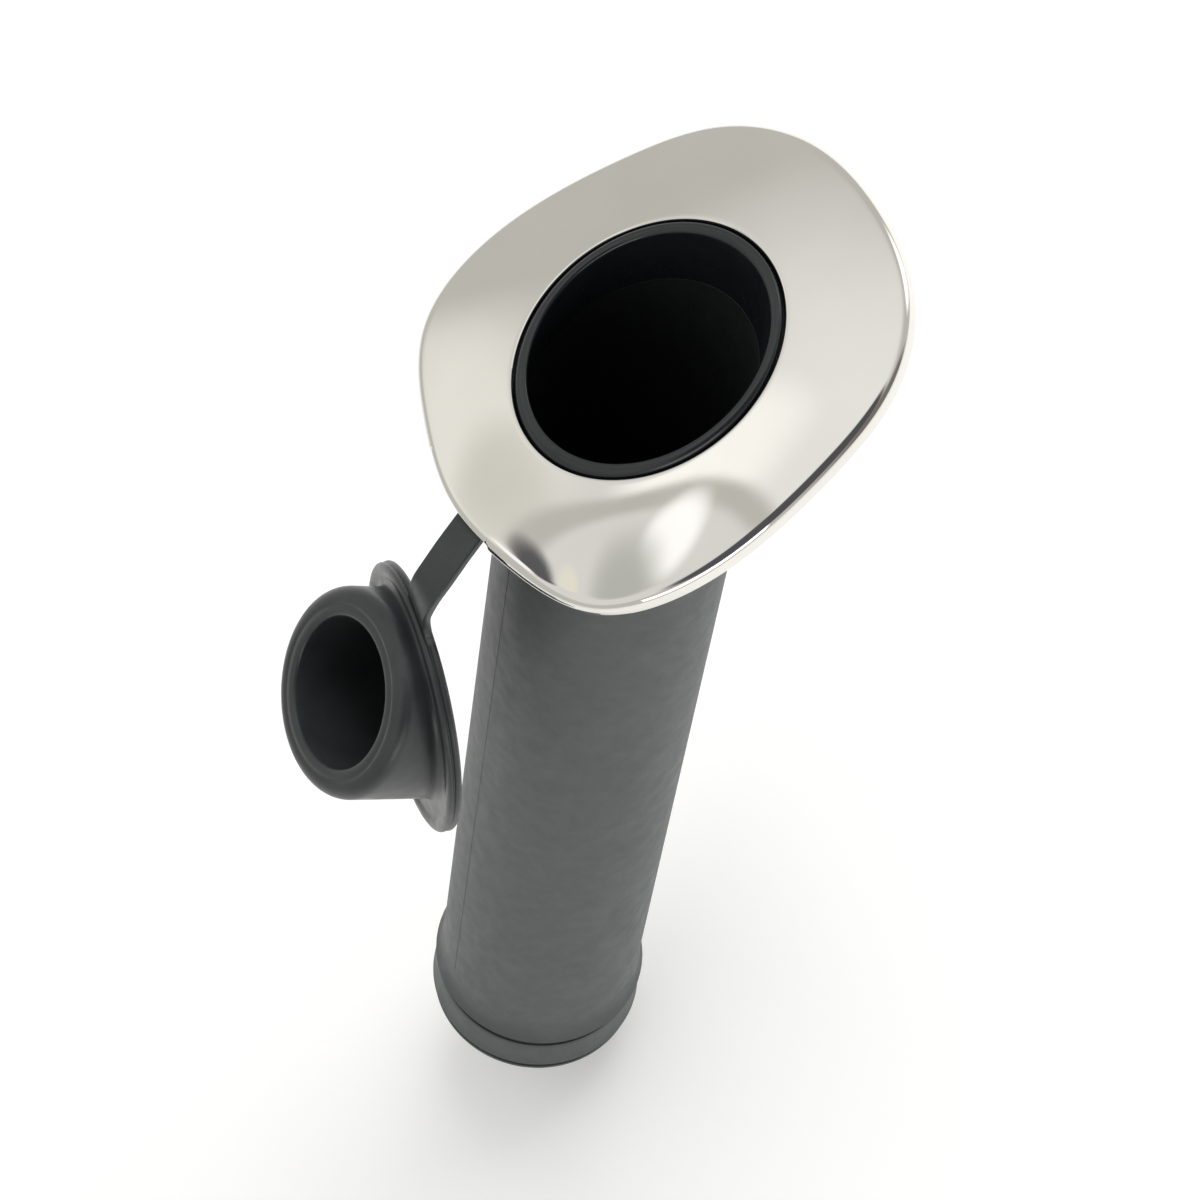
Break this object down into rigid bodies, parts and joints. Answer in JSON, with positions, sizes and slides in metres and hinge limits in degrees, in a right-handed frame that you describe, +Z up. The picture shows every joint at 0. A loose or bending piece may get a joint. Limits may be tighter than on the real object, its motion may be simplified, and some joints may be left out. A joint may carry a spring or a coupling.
{
  "type": "flush mount rod holder",
  "caption": "Flush-mounted 30 degree fishing rod holder with a polished clip-fit cover plate, moulded tube, end cap and a plug cap on a strap",
  "frame": {"origin": "centre of the four screw holes on the deck face of the flange", "axes": "+Z up out of the deck, -X the way the tube leans below the deck and the side the strap leaves from, +Y across"},
  "size_m": [0.1972, 0.0836, 0.2347],
  "materials": {
    "tube_plastic": "fine-grained moulded glass-filled nylon, dark grey",
    "gloss_black": "glossy black moulded plastic",
    "polished_steel": "mirror-polished stainless steel sheet",
    "soft_black": "satin black soft PVC"
  },
  "bodies": {
    "holder": {"tube_body": "tube_plastic", "mouth_ring": "gloss_black", "cover_plate": "polished_steel", "end_cap": "tube_plastic", "tether_ring": "soft_black"},
    "strap_base": {"strap_base": "soft_black"},
    "strap_mid": {"strap_mid": "soft_black"},
    "strap_tip": {"strap_tip": "soft_black"},
    "strap_end": {"strap_end": "soft_black"},
    "plug_cap": {"plug_cap": "soft_black"}
  },
  "joints": [
    {"name": "strap_yaw", "type": "hinge", "parent": "holder", "child": "strap_base", "pos_m": [-0.031, 0, 0.00125], "axis": [0, 0, 1], "range_deg": [-21.05, 0], "deforming": ["strap_base"]},
    {"name": "strap_swing", "type": "hinge", "parent": "strap_base", "child": "strap_mid", "pos_m": [-0.04819, -0.00662, 0.00125], "axis": [-0.3592, 0.9333, 0], "range_deg": [0, 93.61], "deforming": ["strap_mid"]},
    {"name": "strap_curl", "type": "hinge", "parent": "strap_mid", "child": "strap_tip", "pos_m": [-0.05121, -0.00778, 0.0036], "axis": [-0.3592, 0.9333, 0], "range_deg": [0, 93.61], "deforming": ["strap_tip"]},
    {"name": "strap_twist", "type": "hinge", "parent": "strap_tip", "child": "strap_end", "pos_m": [-0.06154, -0.01175, -0.00352], "axis": [0, 0, 1], "range_deg": [0, 30.75], "deforming": ["strap_end"]},
    {"name": "lid_fold", "type": "hinge", "parent": "strap_end", "child": "plug_cap", "pos_m": [-0.06154, -0.01175, -0.00352], "axis": [0.1685, 0.9857, 0], "range_deg": [0, 54.09]}
  ],
  "couplings": [
    {"joint": "strap_yaw", "follows": "strap_swing", "ratio": -0.22491},
    {"joint": "strap_curl", "follows": "strap_swing", "ratio": 1},
    {"joint": "strap_twist", "follows": "strap_swing", "ratio": 0.32853}
  ]
}
